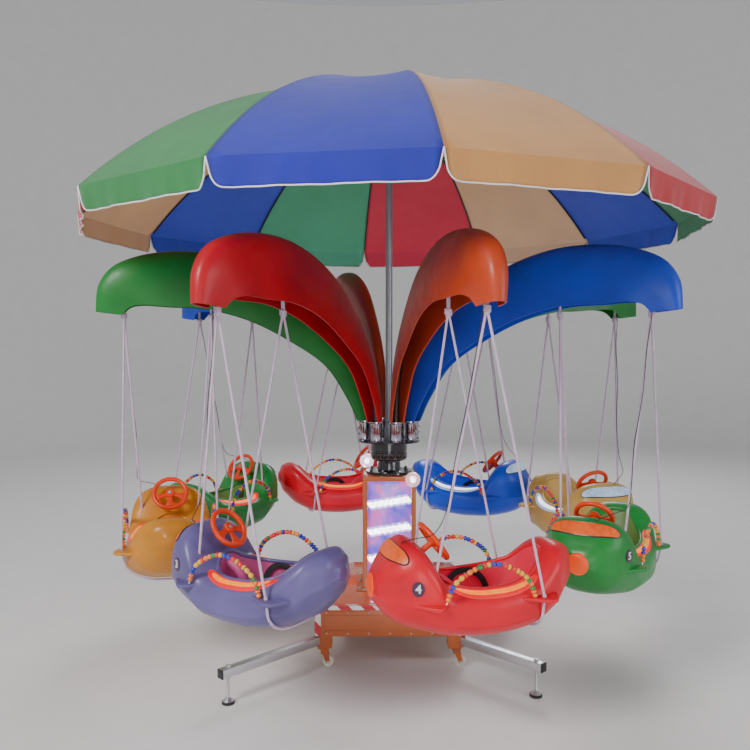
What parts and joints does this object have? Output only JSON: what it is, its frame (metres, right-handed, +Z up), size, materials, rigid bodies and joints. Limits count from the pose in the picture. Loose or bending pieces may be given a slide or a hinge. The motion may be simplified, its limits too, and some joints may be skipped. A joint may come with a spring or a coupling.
{
  "type": "chair swing ride",
  "caption": "Portable fairground swing ride: tub seats hang in rope slings from petal-covered arms on a turning hub, under a striped parasol, on a wheeled base with outriggers.",
  "frame": {"origin": "On the rotor axis at floor level, under the middle of the parasol.", "axes": "+Z up, -Y towards the front of the ride, +X to its right as seen from the front."},
  "size_m": [2.9862, 2.9862, 2.747],
  "materials": {
    "orange_paint": "gloss",
    "deck_paint": "gloss",
    "bright_steel": "satin",
    "white_wheel": "matte",
    "lit_panel": "gloss, lit from behind",
    "black_paint": "gloss",
    "lamp_glass": "gloss, clear",
    "pole_steel": "satin",
    "canopy_cloth": "matte",
    "rope": "matte",
    "orange_plastic": "gloss",
    "petal_orange": "gloss",
    "petal_blue": "gloss",
    "petal_green": "gloss",
    "petal_red": "gloss",
    "seat_red": "gloss",
    "seat_green": "gloss",
    "seat_tan": "gloss",
    "seat_blue": "gloss",
    "seat_orange": "gloss",
    "seat_violet": "gloss"
  },
  "bodies": {
    "base": {"base_box": "orange_paint", "deck": "deck_paint", "outrigger_front_left": "bright_steel", "outrigger_front_right": "bright_steel", "outrigger_rear_right": "bright_steel", "outrigger_rear_left": "bright_steel", "levelling_foot_front_left": "bright_steel", "levelling_foot_front_right": "bright_steel", "levelling_foot_rear_right": "bright_steel", "levelling_foot_rear_left": "bright_steel", "caster_fork_front_left": "orange_paint", "caster_fork_front_right": "orange_paint", "caster_fork_rear_right": "orange_paint", "caster_fork_rear_left": "orange_paint", "caster_wheel_front_left": "white_wheel", "caster_wheel_front_right": "white_wheel", "caster_wheel_rear_right": "white_wheel", "caster_wheel_rear_left": "white_wheel", "tower_frame": "orange_paint", "tower_panels": "lit_panel", "mast": "bright_steel", "bearing_housing": "black_paint", "lamp_rear_left": "lamp_glass", "lamp_front_right": "lamp_glass"},
    "rotor": {"hub": "black_paint", "petal_1": "petal_orange", "petal_2": "petal_blue", "petal_3": "petal_green", "petal_4": "petal_red", "petal_5": "petal_orange", "petal_6": "petal_blue", "petal_7": "petal_green", "petal_8": "petal_red", "pole": "pole_steel", "canopy": "canopy_cloth", "canopy_frame": "black_paint"},
    "seat_1": {"seat_hull_1": "seat_red", "steering_wheel_1": "orange_plastic", "rope_sling_1": "rope"},
    "seat_2": {"seat_hull_2": "seat_green", "steering_wheel_2": "orange_plastic", "rope_sling_2": "rope"},
    "seat_3": {"seat_hull_3": "seat_tan", "steering_wheel_3": "orange_plastic", "rope_sling_3": "rope"},
    "seat_4": {"seat_hull_4": "seat_blue", "steering_wheel_4": "orange_plastic", "rope_sling_4": "rope"},
    "seat_5": {"seat_hull_5": "seat_red", "steering_wheel_5": "orange_plastic", "rope_sling_5": "rope"},
    "seat_6": {"seat_hull_6": "seat_green", "steering_wheel_6": "orange_plastic", "rope_sling_6": "rope"},
    "seat_7": {"seat_hull_7": "seat_orange", "steering_wheel_7": "orange_plastic", "rope_sling_7": "rope"},
    "seat_8": {"seat_hull_8": "seat_violet", "steering_wheel_8": "orange_plastic", "rope_sling_8": "rope"}
  },
  "joints": [
    {"name": "rotor_turn", "type": "hinge", "parent": "base", "child": "rotor", "pos_m": [0, 0, 0.98], "axis": [0, 0, 1], "continuous": true},
    {"name": "seat_1_swing", "type": "hinge", "parent": "rotor", "child": "seat_1", "pos_m": [0.2674, -1.034, 1.85], "axis": [-0.2504, 0.9681, 0], "range_deg": [-3, 3]},
    {"name": "seat_2_swing", "type": "hinge", "parent": "rotor", "child": "seat_2", "pos_m": [0.9202, -0.5421, 1.85], "axis": [-0.8616, 0.5075, 0], "range_deg": [-3, 3]},
    {"name": "seat_3_swing", "type": "hinge", "parent": "rotor", "child": "seat_3", "pos_m": [1.034, 0.2674, 1.85], "axis": [-0.9681, -0.2504, 0], "range_deg": [-3, 3]},
    {"name": "seat_4_swing", "type": "hinge", "parent": "rotor", "child": "seat_4", "pos_m": [0.5421, 0.9202, 1.85], "axis": [-0.5075, -0.8616, 0], "range_deg": [-3, 3]},
    {"name": "seat_5_swing", "type": "hinge", "parent": "rotor", "child": "seat_5", "pos_m": [-0.2674, 1.034, 1.85], "axis": [0.2504, -0.9681, 0], "range_deg": [-3, 3]},
    {"name": "seat_6_swing", "type": "hinge", "parent": "rotor", "child": "seat_6", "pos_m": [-0.9202, 0.5421, 1.85], "axis": [0.8616, -0.5075, 0], "range_deg": [-3, 3]},
    {"name": "seat_7_swing", "type": "hinge", "parent": "rotor", "child": "seat_7", "pos_m": [-1.034, -0.2674, 1.85], "axis": [0.9681, 0.2504, 0], "range_deg": [-3, 3]},
    {"name": "seat_8_swing", "type": "hinge", "parent": "rotor", "child": "seat_8", "pos_m": [-0.5421, -0.9202, 1.85], "axis": [0.5075, 0.8616, 0], "range_deg": [-3, 3]}
  ]
}
